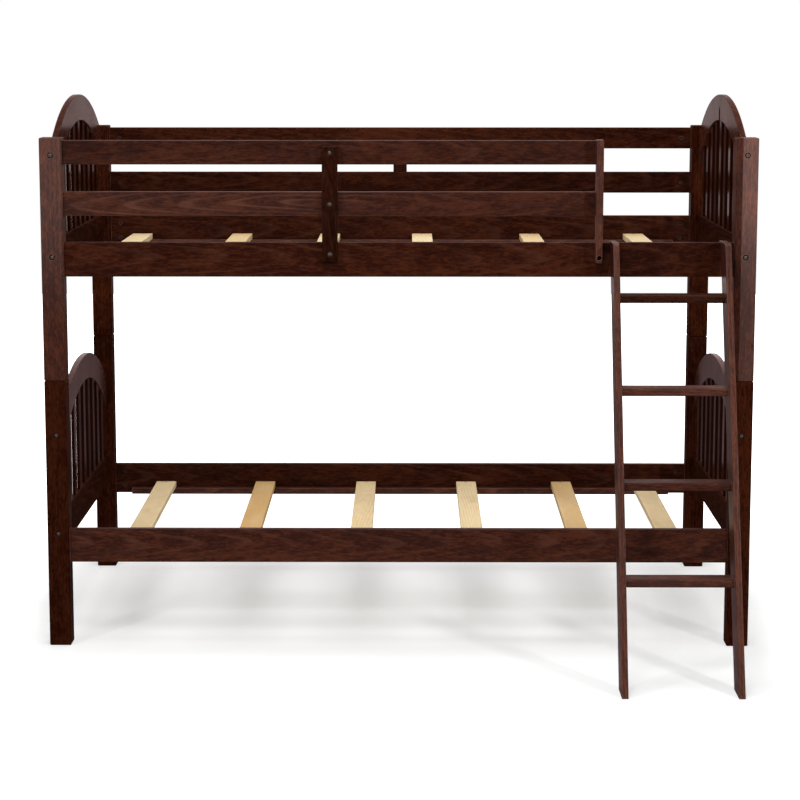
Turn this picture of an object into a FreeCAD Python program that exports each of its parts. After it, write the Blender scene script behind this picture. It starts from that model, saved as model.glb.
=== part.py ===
import FreeCAD, Part
import math
import os

V = FreeCAD.Vector

# ---------------------------------------------------------------- driving sizes (mm)
bed_length = 2024.0  # outer face to outer face of the posts, along X
bed_width = 1058.0  # outer face to outer face of the posts, along Y
post_side = 62.0
post_round = 4.0
lower_post_height = 776.0
bed_top = 1467.0  # top of the upper posts
rest_gap = 0.3  # between the upper posts and the lower posts they stand on

rail_height = 98.0
rail_thickness = 22.0
rail_setback = 12.0  # outer face of every side board behind the posts' outer faces
lower_rail_z = 245.0  # underside of the lower side rails
upper_rail_z = 1074.0
board_round = 2.5

guard_height = 68.0
low_guard_z = 1247.0  # underside of the lower guard boards
top_guard_z = 1391.5
front_guard_length = 1524.5  # from the left post to the end upright
strap_width = 44.0
strap_thickness = 20.0
strap_bottom_z = 1118.5
strap_height = 325.0
front_strap_x = -194.0
back_strap_x = 0.0
end_upright_height = 345.5

end_rail_thickness = 18.0
panel_lift = 800.0  # the upper end panels repeat the lower ones this much higher
bottom_rail_z = 281.0  # underside of the lower end panels' bottom rail
bottom_rail_height = 98.0
arch_outer_radius = 883.5
arch_crown_z = 777.0  # top of the lower arch
arch_inner_radius = 800.0
arch_soffit_z = 698.0  # underside of the lower arch at its middle
arch_chamfer = 2.0
spindle_count = 9
spindle_width = 38.0
spindle_thickness = 9.5
tenon_depth = 10.0

ledger_height = 20.0
ledger_depth = 25.0
ledger_end_gap = 57.0
slat_width = 65.0
slat_thickness = 19.0
slat_end_gap = 3.0
upper_slat_x = [-846.0, -518.0, -229.0, 72.0, 424.0, 764.0]
lower_slat_x = [-780.0, -449.0, -113.0, 220.0, 536.0, 805.0]

ladder_centre_x = 763.0
ladder_width = 330.0
stile_width = 89.0
stile_thickness = 18.0
nose_radius = 20.0
ladder_lean = 20.65  # degrees from upright
ladder_top = 1178.0
rung_depth = 64.0
rung_thickness = 22.5
rung_round = 6.0
first_rung_top = 296.0
rung_pitch = 247.0
rung_count = 4
hook_width = 16.0
hook_thickness = 3.0
hook_gap = 0.4  # between a hook and the rail it hangs on

bolt_radius = 3.0
bolt_length = 92.0
head_radius = 6.0
head_height = 4.5
recess_radius = 8.5
recess_depth = 8.0
nut_radius = 5.0
nut_length = 14.0
nut_from_end = 31.5
nut_spacing = 48.0  # between the two nuts at each end of a side rail
upper_panel_bolt_z = 617.5
lower_panel_bolt_z = 330.0
pin_radius = 5.0
pin_length = 60.0

# ---------------------------------------------------------------- derived sizes
half_length = bed_length / 2.0
inner_x = half_length - post_side
post_x = half_length - post_side / 2.0
upper_rail_top = upper_rail_z + rail_height
lean_sin = math.sin(math.radians(ladder_lean))
lean_cos = math.cos(math.radians(ladder_lean))
lean_tan = lean_sin / lean_cos
stile_run = stile_width / lean_cos
hook_run = hook_thickness / lean_cos
hook_seat_z = upper_rail_top + hook_gap
ladder_reach = hook_seat_z * lean_tan + stile_run + hook_run + hook_gap - rail_setback
strap_proud = strap_thickness - rail_setback
front_y = ladder_reach - (ladder_reach + bed_width + strap_proud) / 2.0
back_y = front_y + bed_width
front_rail_y = front_y + rail_setback
back_rail_y = back_y - rail_setback
inner_front_y = front_rail_y + rail_thickness
inner_back_y = back_rail_y - rail_thickness
panel_y0 = front_y + post_side
panel_y1 = back_y - post_side
mid_y = (front_y + back_y) / 2.0
slat_top_rise = ledger_height + slat_thickness
end_upright_x = -inner_x + front_guard_length - strap_thickness / 2.0


# ---------------------------------------------------------------- general helpers
def box(x0, x1, y0, y1, z0, z1):
    """A plain block between two corners."""
    return Part.makeBox(x1 - x0, y1 - y0, z1 - z0, V(x0, y0, z0))


def board(x0, x1, y0, y1, z0, z1, axis, radius=board_round):
    """A block whose four edges along axis (0, 1 or 2) are rounded."""
    solid = box(x0, x1, y0, y1, z0, z1)
    edges = []
    for edge in solid.Edges:
        direction = edge.Vertexes[1].Point - edge.Vertexes[0].Point
        lengths = [abs(direction.x), abs(direction.y), abs(direction.z)]
        if lengths[axis] == max(lengths):
            edges.append(edge)
    return solid.makeFillet(radius, edges)


def rod(point, direction, radius, length):
    """A plain cylinder starting at point."""
    return Part.makeCylinder(radius, length, V(*point), V(*direction))


def spun(profile, point, direction):
    """Turns a list of (radius, height) points about an axis through point."""
    points = [V(r, 0, h) for r, h in profile]
    face = Part.Face(Part.makePolygon(points + [points[0]]))
    solid = face.revolve(V(0, 0, 0), V(0, 0, 1), 360)
    solid.Placement = FreeCAD.Placement(V(*point), FreeCAD.Rotation(V(0, 0, 1), V(*direction)))
    return solid


def cut_all(solid, cutters):
    """Removes every cutter from the solid."""
    if not cutters:
        return solid
    return solid.cut(cutters)


def save(name, solids):
    """Writes one node: a single solid or a group of separate solids."""
    shapes = []
    for shape in solids if isinstance(solids, list) else [solids]:
        shapes.extend(shape.Solids)
    for shape in shapes:
        if not shape.isValid() or shape.Volume <= 0:
            raise ValueError("bad solid in " + name)
    result = shapes[0] if len(shapes) == 1 else Part.makeCompound(shapes)
    result.exportStep("parts/" + name + ".step")
    print(name, len(shapes), "solid(s)")


# ---------------------------------------------------------------- fasteners
def socket_bolt(point, direction, length, radius=bolt_radius, head=head_radius):
    """A bolt with a domed head and a hexagon socket; point is under the head."""
    crown = 1.5
    profile = [
        (0, length),
        (radius - 0.6, length),
        (radius, length - 0.6),
        (radius, 0),
        (head, 0),
        (head, -(head_height - crown)),
        (head - 1.2, -(head_height - 0.4)),
        (head - 3.0, -head_height),
        (0, -head_height),
    ]
    solid = spun(profile, (0, 0, 0), (0, 0, 1))
    key = 2.3
    corners = []
    for k in range(7):
        turn = k * math.pi / 3
        corners.append(V(key * math.cos(turn), key * math.sin(turn), -head_height - 1))
    socket = Part.Face(Part.makePolygon(corners)).extrude(V(0, 0, 3.4))
    solid = solid.cut(socket)
    solid.Placement = FreeCAD.Placement(V(*point), FreeCAD.Rotation(V(0, 0, 1), V(*direction)))
    return solid


def bolt_hole(point, direction, length, depth=recess_depth, bore=recess_radius):
    """The recess for a bolt's head and the clear hole for its shank; point is under the head."""
    dx, dy, dz = direction
    start = (point[0] - dx * (depth + 1), point[1] - dy * (depth + 1), point[2] - dz * (depth + 1))
    recess = rod(start, direction, bore, depth + 1)
    return [recess, rod(point, direction, bolt_radius + 0.5, length + 1)]


def barrel_nut(point, direction):
    """A cross dowel along direction, with a threaded hole through its middle; point is its inner end."""
    r = nut_radius
    profile = [(0, 0), (r, 0), (r, nut_length - 0.5), (r - 0.5, nut_length), (0, nut_length)]
    return spun(profile, point, direction)


def wood_screw(point, direction, length, radius=2.2, head=4.2):
    """A countersunk wood screw; point is the middle of the flat head."""
    profile = [
        (0, 0),
        (head, 0),
        (head, 0.6),
        (radius, 3.2),
        (radius, length - 4),
        (0.3, length),
        (0, length),
    ]
    return spun(profile, point, direction)


def screw_hole(point, direction, length, radius=2.2, head=4.2):
    """The countersunk hole for a wood screw, slightly larger all round."""
    slack = 0.2
    profile = [
        (0, -1),
        (head + slack, -1),
        (head + slack, 0.8),
        (radius + slack, 3.4 + slack),
        (radius + slack, length - 3.4),
        (0.6, length + 0.8),
        (0, length + 0.8),
    ]
    return spun(profile, point, direction)


# ---------------------------------------------------------------- one bunk: posts, panels, rails, slats
SIDES = {"left": -1, "right": 1}
ENDS = {"front": -1, "back": 1}


class Bunk:
    """All the pieces of one bunk, at its own height."""

    def __init__(self, name, rail_z, panel_z, post_bottom, post_top, slat_x):
        self.name = name
        self.rail_z = rail_z
        self.panel_z = panel_z
        self.post_bottom = post_bottom
        self.post_top = post_top
        self.slat_x = slat_x

    def save(self, piece, solids):
        save(self.name + "_" + piece, solids)

    # fasteners -------------------------------------------------
    def side_levels(self, side, end):
        """Heights of the bolts that hold the side boards to one post."""
        middle = self.rail_z + rail_height / 2.0
        return [middle - nut_spacing / 2.0, middle + nut_spacing / 2.0]

    def side_bolts(self):
        """Bolts through the posts along X: (point, direction)."""
        found = []
        for side in (-1, 1):
            for end in (-1, 1):
                y0, y1 = self.rail_range(end)
                for z in self.side_levels(side, end):
                    point = (side * (half_length - recess_depth), (y0 + y1) / 2.0, z)
                    found.append((point, (-side, 0, 0)))
        return found

    def panel_bolts(self):
        """Bolts through the posts along Y into the end panels."""
        found = []
        for side in (-1, 1):
            for end in (-1, 1):
                y = front_y + recess_depth if end < 0 else back_y - recess_depth
                for z in (lower_panel_bolt_z, upper_panel_bolt_z):
                    found.append(((side * post_x, y, z + self.panel_z), (0, -end, 0)))
        return found

    def side_nut(self, point, direction):
        """Where the cross dowel of a side bolt sits: its inner end and its axis."""
        x = point[0] + direction[0] * (post_side - recess_depth + nut_from_end)
        front = point[1] < mid_y
        depth = rail_thickness - nut_length - 1.0
        y = front_rail_y + depth if front else back_rail_y - depth
        return (x, y, point[2]), (0, 1 if front else -1, 0)

    def panel_nut(self, point, direction):
        """Where the cross dowel of a panel bolt sits: its inner end and its axis."""
        y = point[1] + direction[1] * (post_side - recess_depth + nut_from_end)
        side = 1 if point[0] > 0 else -1
        x = point[0] - side * (end_rail_thickness / 2.0 - 2.5)
        return (x, y, point[2]), (side, 0, 0)

    def all_bolts(self):
        return self.side_bolts() + self.panel_bolts()

    def all_nuts(self):
        nuts = [self.side_nut(*b) for b in self.side_bolts()]
        return nuts + [self.panel_nut(*b) for b in self.panel_bolts()]

    def bolt_cutters(self):
        cutters = []
        for point, direction in self.all_bolts():
            cutters.extend(bolt_hole(point, direction, bolt_length))
        for point, direction in self.all_nuts():
            cutters.append(rod(point, direction, nut_radius + 0.25, nut_length + 12))
        return cutters

    def pin_hole(self, x, y):
        """A tight hole down into the lower post's top for its pin."""
        return rod((x, y, self.post_top - pin_length / 2.0), (0, 0, 1), pin_radius, pin_length)

    # pieces ----------------------------------------------------
    def post(self, side, end):
        x0 = side * post_x - post_side / 2.0
        y0 = front_y if end < 0 else back_y - post_side
        block = box(x0, x0 + post_side, y0, y0 + post_side, self.post_bottom, self.post_top)
        solid = block.makeFillet(post_round, block.Edges)
        cutters = [self.pin_hole(side * post_x, y0 + post_side / 2.0)]
        for point, direction in self.all_bolts():
            same_side = point[0] * side > 0
            same_end = (point[1] - mid_y) * end > 0
            if same_side and same_end:
                cutters.extend(bolt_hole(point, direction, post_side))
        return cut_all(solid, cutters)

    def spindle_centres(self):
        span = panel_y1 - panel_y0
        gap = (span - spindle_count * spindle_width) / (spindle_count + 1)
        first = panel_y0 + gap + spindle_width / 2.0
        return [first + k * (gap + spindle_width) for k in range(spindle_count)]

    def soffit(self, y):
        """Height of the arch's underside at y."""
        centre = arch_soffit_z + self.panel_z - arch_inner_radius
        return centre + math.sqrt(arch_inner_radius ** 2 - (y - mid_y) ** 2)

    def spindle(self, side, y):
        x = side * post_x
        inner_edge = abs(y - mid_y) - spindle_width / 2.0
        top = self.soffit(mid_y + max(0.0, inner_edge)) + tenon_depth
        bottom = bottom_rail_z + bottom_rail_height + self.panel_z - tenon_depth
        half = spindle_thickness / 2.0
        reach = spindle_width / 2.0
        return board(x - half, x + half, y - reach, y + reach, bottom, top, 2, 2.0)

    def mortises(self, side):
        cutters = []
        for y in self.spindle_centres():
            b = self.spindle(side, y).BoundBox
            cutters.append(box(b.XMin - 0.1, b.XMax + 0.1, b.YMin - 0.1, b.YMax + 0.1, b.ZMin, b.ZMax + 0.5))
        return cutters

    def arch_rail(self, side):
        """The arched top rail of one end panel."""
        outer_c = arch_crown_z + self.panel_z - arch_outer_radius
        inner_c = arch_soffit_z + self.panel_z - arch_inner_radius
        half = (panel_y1 - panel_y0) / 2.0
        outer_end = outer_c + math.sqrt(arch_outer_radius ** 2 - half ** 2)
        inner_end = inner_c + math.sqrt(arch_inner_radius ** 2 - half ** 2)
        x0 = side * post_x - end_rail_thickness / 2.0
        a = V(x0, panel_y0, outer_end)
        b = V(x0, panel_y1, outer_end)
        c = V(x0, panel_y1, inner_end)
        d = V(x0, panel_y0, inner_end)
        top = Part.Arc(a, V(x0, mid_y, outer_c + arch_outer_radius), b).toShape()
        under = Part.Arc(c, V(x0, mid_y, inner_c + arch_inner_radius), d).toShape()
        wire = Part.Wire([top, Part.LineSegment(b, c).toShape(), under, Part.LineSegment(d, a).toShape()])
        solid = Part.Face(wire).extrude(V(end_rail_thickness, 0, 0))
        curved = [e for e in solid.Edges if isinstance(e.Curve, Part.Circle)]
        solid = solid.makeChamfer(arch_chamfer, curved)
        return cut_all(solid, self.mortises(side) + self.bolt_cutters())

    def bottom_rail(self, side):
        x = side * post_x
        half = end_rail_thickness / 2.0
        z0 = bottom_rail_z + self.panel_z
        solid = board(x - half, x + half, panel_y0, panel_y1, z0, z0 + bottom_rail_height, 1)
        return cut_all(solid, self.mortises(side) + self.bolt_cutters())

    def rail_range(self, end):
        if end < 0:
            return front_rail_y, inner_front_y
        return inner_back_y, back_rail_y

    def ledger_range(self, end):
        if end < 0:
            return inner_front_y, inner_front_y + ledger_depth
        return inner_back_y - ledger_depth, inner_back_y

    def ledger_screws(self):
        """Screws that hold the ledgers to the side rails."""
        found = []
        length = 2 * (inner_x - ledger_end_gap) - 120
        for end in (-1, 1):
            y = inner_front_y + ledger_depth if end < 0 else inner_back_y - ledger_depth
            for k in range(5):
                x = -length / 2.0 + k * length / 4.0
                found.append(((x, y, self.rail_z + 7.0), (0, end, 0)))
        return found

    def slat_screws(self):
        """One screw down through each end of every slat."""
        found = []
        for x in self.slat_x:
            for end in (-1, 1):
                y0, y1 = self.ledger_range(end)
                found.append(((x, (y0 + y1) / 2.0, self.rail_z + slat_top_rise), (0, 0, -1)))
        return found

    def side_rail(self, end):
        y0, y1 = self.rail_range(end)
        solid = board(-inner_x, inner_x, y0, y1, self.rail_z, self.rail_z + rail_height, 0)
        cutters = self.bolt_cutters()
        cutters += [screw_hole(p, d, 40.0) for p, d in self.ledger_screws()]
        return cut_all(solid, cutters)

    def ledger(self, end):
        y0, y1 = self.ledger_range(end)
        x1 = inner_x - ledger_end_gap
        solid = board(-x1, x1, y0, y1, self.rail_z, self.rail_z + ledger_height, 0, 1.0)
        cutters = [screw_hole(p, d, 40.0) for p, d in self.ledger_screws()]
        cutters += [screw_hole(p, d, 32.0) for p, d in self.slat_screws()]
        return cut_all(solid, cutters)

    def slat(self, x):
        z0 = self.rail_z + ledger_height
        half = slat_width / 2.0
        y0 = inner_front_y + slat_end_gap
        y1 = inner_back_y - slat_end_gap
        solid = board(x - half, x + half, y0, y1, z0, z0 + slat_thickness, 1, 2.0)
        near = [s for s in self.slat_screws() if s[0][0] == x]
        return cut_all(solid, [screw_hole(p, d, 32.0) for p, d in near])

    def build(self):
        for end_name, end in ENDS.items():
            for side_name, side in SIDES.items():
                self.save("post_" + end_name + "_" + side_name, self.post(side, end))
            self.save("side_rail_" + end_name, self.side_rail(end))
            self.save("ledger_" + end_name, self.ledger(end))
        for side_name, side in SIDES.items():
            self.save("arch_rail_" + side_name, self.arch_rail(side))
            self.save("bottom_rail_" + side_name, self.bottom_rail(side))
            self.save("spindles_" + side_name, [self.spindle(side, y) for y in self.spindle_centres()])
        self.save("slats", [self.slat(x) for x in self.slat_x])
        self.save("frame_bolts", [socket_bolt(p, d, bolt_length) for p, d in self.all_bolts()])
        bores = [rod(p, d, bolt_radius + 0.3, bolt_length + 5) for p, d in self.all_bolts()]
        self.save("barrel_nuts", [barrel_nut(*n).cut(b) for n, b in zip(self.all_nuts(), bores)])
        self.save("ledger_screws", [wood_screw(p, d, 40.0) for p, d in self.ledger_screws()])
        self.save("slat_screws", [wood_screw(p, d, 32.0) for p, d in self.slat_screws()])


class UpperBunk(Bunk):
    """The upper bunk adds the guard boards, their straps and the end upright."""

    screw_length = 30.0
    upright_recess = 26.0

    def __init__(self, *sizes):
        super().__init__(*sizes)
        self.guard_levels = [low_guard_z + guard_height / 2.0, top_guard_z + guard_height / 2.0]

    def side_levels(self, side, end):
        """The guard boards are bolted too, but the front ones stop short of the right post."""
        levels = super().side_levels(side, end)
        if (side, end) != (1, -1):
            levels = levels + self.guard_levels
        return levels

    def pin_hole(self, x, y):
        """A running fit up into the upper post's foot, so that the bunk lifts off."""
        start = (x, y, self.post_bottom - 1.0)
        return rod(start, (0, 0, 1), pin_radius + 0.1, pin_length / 2.0 + 4.0)

    def strap_levels(self):
        return [strap_bottom_z + 21.0] + self.guard_levels

    def guard_screws(self):
        """Screws through the straps and the end upright: (point, direction, recess depth)."""
        found = []
        for z in self.strap_levels():
            found.append(((front_strap_x, front_rail_y - strap_thickness + 6.0, z), (0, 1, 0), 6.0))
            found.append(((back_strap_x, back_rail_y + strap_thickness - 6.0, z), (0, -1, 0), 6.0))
        y_deep = front_rail_y - strap_width + self.upright_recess
        found.append(((end_upright_x, y_deep, strap_bottom_z + 13.0), (0, 1, 0), self.upright_recess))
        for z in self.guard_levels:
            found.append(((end_upright_x, inner_front_y - 6.0, z), (0, -1, 0), 6.0))
        return found

    def guard_cutters(self):
        cutters = []
        for point, direction, depth in self.guard_screws():
            cutters.extend(bolt_hole(point, direction, self.screw_length, depth, 7.0))
        return cutters

    def side_rail(self, end):
        return cut_all(super().side_rail(end), self.guard_cutters())

    def guard_board(self, end, z0):
        y0, y1 = self.rail_range(end)
        x1 = -inner_x + front_guard_length if end < 0 else inner_x
        solid = board(-inner_x, x1, y0, y1, z0, z0 + guard_height, 0)
        return cut_all(solid, self.bolt_cutters() + self.guard_cutters())

    def strap(self, x, end):
        y0 = front_rail_y - strap_thickness if end < 0 else back_rail_y
        z1 = strap_bottom_z + strap_height
        half = strap_width / 2.0
        block = box(x - half, x + half, y0, y0 + strap_thickness, strap_bottom_z, z1)
        solid = block.makeFillet(3.0, block.Edges)
        return cut_all(solid, self.guard_cutters())

    def end_upright(self):
        half = strap_thickness / 2.0
        block = box(
            end_upright_x - half,
            end_upright_x + half,
            front_rail_y - strap_width,
            front_rail_y,
            strap_bottom_z - 1.5,
            strap_bottom_z - 1.5 + end_upright_height,
        )
        return cut_all(block.makeFillet(3.0, block.Edges), self.guard_cutters())

    def build(self):
        super().build()
        for end_name, end in ENDS.items():
            save("guard_board_low_" + end_name, self.guard_board(end, low_guard_z))
            save("guard_board_top_" + end_name, self.guard_board(end, top_guard_z))
        save("guard_strap_front", self.strap(front_strap_x, -1))
        save("guard_strap_back", self.strap(back_strap_x, 1))
        save("guard_end_upright", self.end_upright())
        places = [(p, d) for p, d, _ in self.guard_screws()]
        save("guard_screws", [socket_bolt(p, d, self.screw_length, 3.0, 5.5) for p, d in places])


# ---------------------------------------------------------------- ladder
class Ladder:
    """The leaning ladder with its four steps and two hook plates."""

    screw_length = 50.0
    screw_recess = 6.0

    def back_y(self, z):
        """Back edge of the stiles at height z."""
        seat_y = front_rail_y - hook_gap - hook_run
        return seat_y + (z - hook_seat_z) * lean_tan

    def middle_y(self, z):
        """Middle of the stiles' depth at height z."""
        return self.back_y(z) - stile_run / 2.0

    def stile_x(self, side):
        outer = ladder_centre_x + side * ladder_width / 2.0
        return (outer, outer + stile_thickness) if side < 0 else (outer - stile_thickness, outer)

    def rung_levels(self):
        """Height of the middle of each step."""
        return [first_rung_top - rung_thickness / 2.0 + k * rung_pitch for k in range(rung_count)]

    def screws(self):
        """Screws from the outer face of each stile into the steps."""
        found = []
        for side in (-1, 1):
            x0, x1 = self.stile_x(side)
            x = x0 + self.screw_recess if side < 0 else x1 - self.screw_recess
            for z in self.rung_levels():
                found.append(((x, self.middle_y(z), z), (-side, 0, 0)))
        return found

    def hook_screws(self):
        """Two small screws through each hook into the back edge of its stile."""
        found = []
        for side in (-1, 1):
            x0, x1 = self.stile_x(side)
            for z in (1100.0, 1132.0):
                point = ((x0 + x1) / 2.0, self.back_y(z) + hook_run, z)
                found.append((point, (0, -lean_cos, lean_sin)))
        return found

    def cutters(self):
        found = []
        for point, direction in self.screws():
            found.extend(bolt_hole(point, direction, self.screw_length, self.screw_recess, 6.5))
        for point, direction in self.hook_screws():
            found.append(screw_hole(point, direction, 18.0, 1.8, 3.6))
        return found

    def stile(self, side):
        x0, x1 = self.stile_x(side)
        outline = [
            V(x0, self.back_y(0) - stile_run, 0),
            V(x0, self.back_y(0), 0),
            V(x0, self.back_y(ladder_top), ladder_top),
            V(x0, self.back_y(ladder_top) - stile_run, ladder_top),
        ]
        solid = Part.Face(Part.makePolygon(outline + [outline[0]])).extrude(V(stile_thickness, 0, 0))
        nose = []
        for edge in solid.Edges:
            a, b = edge.Vertexes[0].Point, edge.Vertexes[1].Point
            across = abs(a.x - b.x) > stile_thickness / 2.0
            if across and a.z > ladder_top - 1 and a.y < self.back_y(ladder_top) - 1:
                nose.append(edge)
        solid = solid.makeFillet(nose_radius, nose)
        long_edges = []
        for edge in solid.Edges:
            a, b = edge.Vertexes[0].Point, edge.Vertexes[1].Point
            if abs(a.z - b.z) > 500:
                long_edges.append(edge)
        solid = solid.makeFillet(board_round, long_edges)
        return cut_all(solid, self.cutters())

    def rung(self, z):
        x0 = self.stile_x(-1)[1]
        x1 = self.stile_x(1)[0]
        y = self.middle_y(z)
        half = rung_thickness / 2.0
        solid = board(x0, x1, y - rung_depth / 2.0, y + rung_depth / 2.0, z - half, z + half, 0, rung_round)
        return cut_all(solid, self.cutters())

    def hook(self, side):
        """A flat steel strip on the back edge of a stile, bent over the rail and down behind it."""
        x0, x1 = self.stile_x(side)
        start = (x0 + x1 - hook_width) / 2.0
        low = 1084.0
        lip = hook_seat_z - 22.0
        top = hook_seat_z + hook_thickness
        y_in = inner_front_y + hook_gap
        y_out = y_in + hook_thickness
        points = [
            (self.back_y(low), low),
            (self.back_y(low) + hook_run, low),
            (self.back_y(hook_seat_z) + hook_run, hook_seat_z),
            (y_in, hook_seat_z),
            (y_in, lip),
            (y_out, lip),
            (y_out, top),
            (self.back_y(top), top),
        ]
        outline = [V(start, y, z) for y, z in points]
        solid = Part.Face(Part.makePolygon(outline + [outline[0]])).extrude(V(hook_width, 0, 0))
        return cut_all(solid, self.cutters())

    def build(self):
        for side_name, side in SIDES.items():
            save("ladder_stile_" + side_name, self.stile(side))
            save("ladder_hook_" + side_name, self.hook(side))
        for k, z in enumerate(self.rung_levels()):
            save("ladder_rung_" + str(k + 1), self.rung(z))
        save("ladder_screws", [socket_bolt(p, d, self.screw_length, 3.0, 5.0) for p, d in self.screws()])
        save("ladder_hook_screws", [wood_screw(p, d, 18.0, 1.8, 3.6) for p, d in self.hook_screws()])


# ---------------------------------------------------------------- connecting pins
def bunk_pins():
    """The steel pins between the lower and the upper posts."""
    pins = []
    for side in (-1, 1):
        for y in (front_y + post_side / 2.0, back_y - post_side / 2.0):
            z0 = lower_post_height - pin_length / 2.0
            profile = [
                (0, 0),
                (pin_radius - 1, 0),
                (pin_radius, 1),
                (pin_radius, pin_length - 1),
                (pin_radius - 1, pin_length),
                (0, pin_length),
            ]
            pins.append(spun(profile, (side * post_x, y, z0), (0, 0, 1)))
    return pins


def main():
    os.makedirs("parts", exist_ok=True)
    lower = Bunk("lower", lower_rail_z, 0.0, 0.0, lower_post_height, lower_slat_x)
    upper_foot = lower_post_height + rest_gap
    upper = UpperBunk("upper", upper_rail_z, panel_lift, upper_foot, bed_top, upper_slat_x)
    lower.build()
    save("bunk_pins", bunk_pins())
    upper.build()
    Ladder().build()


main()
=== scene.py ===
import logging
import math
import random
from dataclasses import dataclass, replace
from enum import Enum

import bmesh
import bpy
from mathutils import Euler, Matrix, Vector


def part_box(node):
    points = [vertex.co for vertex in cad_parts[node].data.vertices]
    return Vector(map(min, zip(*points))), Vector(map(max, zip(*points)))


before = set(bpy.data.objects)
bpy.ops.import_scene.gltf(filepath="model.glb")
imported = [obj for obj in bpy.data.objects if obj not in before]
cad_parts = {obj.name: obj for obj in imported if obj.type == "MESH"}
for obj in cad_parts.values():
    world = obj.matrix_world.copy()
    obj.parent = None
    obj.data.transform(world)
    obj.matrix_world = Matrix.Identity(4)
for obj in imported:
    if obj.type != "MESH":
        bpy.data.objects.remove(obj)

logging.basicConfig(level=logging.INFO, format="%(message)s")
log = logging.getLogger("bunk_bed")

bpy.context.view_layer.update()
LADDER_LEAN = math.radians(20.65)
SPINDLE_WIDTH = 0.038
SPINDLE_COUNT = 9
DARK_STRIP_X = 0.968


class Way(Enum):
    """Directions that a piece's grain or width can run in, as unit vectors."""

    X = (1.0, 0.0, 0.0)
    Y = (0.0, 1.0, 0.0)
    Z = (0.0, 0.0, 1.0)
    UP_LADDER = (0.0, math.sin(LADDER_LEAN), math.cos(LADDER_LEAN))
    ACROSS_LADDER = (0.0, math.cos(LADDER_LEAN), -math.sin(LADDER_LEAN))

    def vector(self) -> Vector:
        """The direction as a vector."""
        return Vector(self.value)


class Wiring:
    """Adds nodes to one node tree and joins them up."""

    def __init__(self, tree: bpy.types.NodeTree) -> None:
        """Starts on an empty tree.

        Args:
            tree: The material's, world's or group's node tree.
        """
        self.tree = tree
        tree.nodes.clear()

    def add(self, kind: str, inputs: dict | None = None, **settings: object) -> bpy.types.Node:
        """Adds a node.

        Args:
            kind: Blender's name of the node type, without the ShaderNode prefix.
            inputs: Input name or number to a socket to link from, or a plain value.
            **settings: Properties to set on the node.

        Returns:
            The new node.
        """
        node = self.tree.nodes.new(kind if kind.startswith("Node") else "ShaderNode" + kind)
        for name, value in settings.items():
            setattr(node, name, value)
        for name, value in (inputs or {}).items():
            self.feed(node.inputs[name], value)
        return node

    def feed(self, socket: bpy.types.NodeSocket, value: object) -> None:
        """Links an input, or sets its own value.

        Args:
            socket: The input.
            value: A socket to link from, or a plain value.
        """
        if isinstance(value, bpy.types.NodeSocket):
            self.tree.links.new(value, socket)
        else:
            socket.default_value = value

    def math(
        self, operation: str, a: object, b: object = 0.0, clamp: bool = False
    ) -> bpy.types.NodeSocket:
        """One Math node's result."""
        node = self.add("Math", {0: a, 1: b}, operation=operation, use_clamp=clamp)
        return node.outputs[0]

    def vector(
        self, operation: str, a: object, b: object = (0.0, 0.0, 0.0)
    ) -> bpy.types.NodeSocket:
        """One Vector Math node's vector result."""
        return self.add("VectorMath", {0: a, 1: b}, operation=operation).outputs[0]

    def remap(
        self, value: object, low: float, high: float, to: tuple = (0.0, 1.0)
    ) -> bpy.types.NodeSocket:
        """Turns one range into another with a smooth step.

        Args:
            value: What to remap.
            low: Where the range starts.
            high: Where the range ends.
            to: The results at the two ends.

        Returns:
            The remapped value.
        """
        node = self.add(
            "MapRange",
            {"Value": value, "From Min": low, "From Max": high, "To Min": to[0], "To Max": to[1]},
            interpolation_type="SMOOTHSTEP",
        )
        return node.outputs[0]

    def noise(
        self, place: object, scale: float, detail: float = 2.0, rough: float = 0.5
    ) -> bpy.types.NodeSocket:
        """A noise texture's value at a place."""
        inputs = {"Vector": place, "Scale": scale, "Detail": detail, "Roughness": rough}
        return self.add("TexNoise", inputs).outputs[0]

    def mix(self, factor: object, a: object, b: object) -> bpy.types.NodeSocket:
        """Mixes two colours.

        Args:
            factor: 0 for the first colour and 1 for the second.
            a: The first colour.
            b: The second colour.

        Returns:
            The mixed colour.
        """
        node = self.add("Mix", data_type="RGBA", blend_type="MIX")
        self.feed(node.inputs[0], factor)
        self.feed(node.inputs[6], a)
        self.feed(node.inputs[7], b)
        return node.outputs[2]


def new_group(
    name: str, inputs: dict, outputs: dict
) -> tuple[Wiring, bpy.types.Node, bpy.types.Node]:
    """Makes an empty shader node group with its sockets.

    Args:
        name: The group's name.
        inputs: Input name to (socket kind, value).
        outputs: Output name to socket kind.

    Returns:
        The wiring, the group's input node and its output node.
    """
    tree = bpy.data.node_groups.new(name, "ShaderNodeTree")
    for label, (kind, value) in inputs.items():
        socket = tree.interface.new_socket(label, in_out="INPUT", socket_type="NodeSocket" + kind)
        if value is not None:
            socket.default_value = value
    for label, kind in outputs.items():
        tree.interface.new_socket(label, in_out="OUTPUT", socket_type="NodeSocket" + kind)
    pen = Wiring(tree)
    return pen, pen.add("NodeGroupInput"), pen.add("NodeGroupOutput")


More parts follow.
